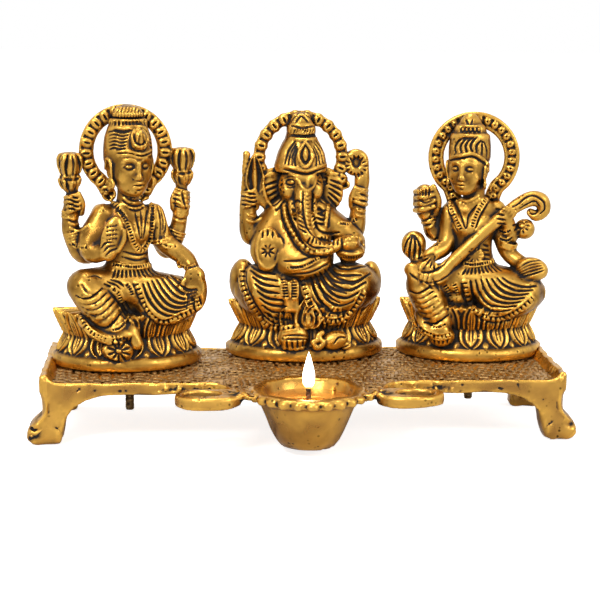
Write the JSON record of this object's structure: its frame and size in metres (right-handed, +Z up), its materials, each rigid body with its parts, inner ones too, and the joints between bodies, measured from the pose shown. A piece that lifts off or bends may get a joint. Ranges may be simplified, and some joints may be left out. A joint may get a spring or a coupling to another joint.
{
  "type": "deity idol with lamp",
  "caption": "Footed brass stand with scroll loops, a front oil lamp bowl with a standing wick, and seated haloed deity idols bolted along the back.",
  "frame": {"origin": "on the ground under the middle of the object's bounding box", "axes": "+Z up, front with the lamp bowl towards -Y, +X along the row of idols to the viewer's right"},
  "size_m": [0.282, 0.13, 0.1688],
  "materials": {
    "antique_brass": "cast brass, polished on the high places with a dark brown patina in the recesses",
    "zinc_steel": "plain zinc-plated steel",
    "cotton": "twisted cotton soaked in oil, charred at the tip"
  },
  "bodies": {
    "lamp_stand": {"stand_casting": "antique_brass", "lakshmi_idol": "antique_brass", "ganesha_idol": "antique_brass", "saraswati_idol": "antique_brass", "idol_stud_left": "zinc_steel", "washer_left": "zinc_steel", "hex_nut_left": "zinc_steel", "idol_stud_middle": "zinc_steel", "washer_middle": "zinc_steel", "hex_nut_middle": "zinc_steel", "idol_stud_right": "zinc_steel", "washer_right": "zinc_steel", "hex_nut_right": "zinc_steel"},
    "wick": {"cotton_wick": "cotton"}
  },
  "joints": [
    {"name": "wick_lift", "type": "slide", "parent": "lamp_stand", "child": "wick", "axis": [0, 0, 1], "range_m": [0, 0.035]}
  ]
}
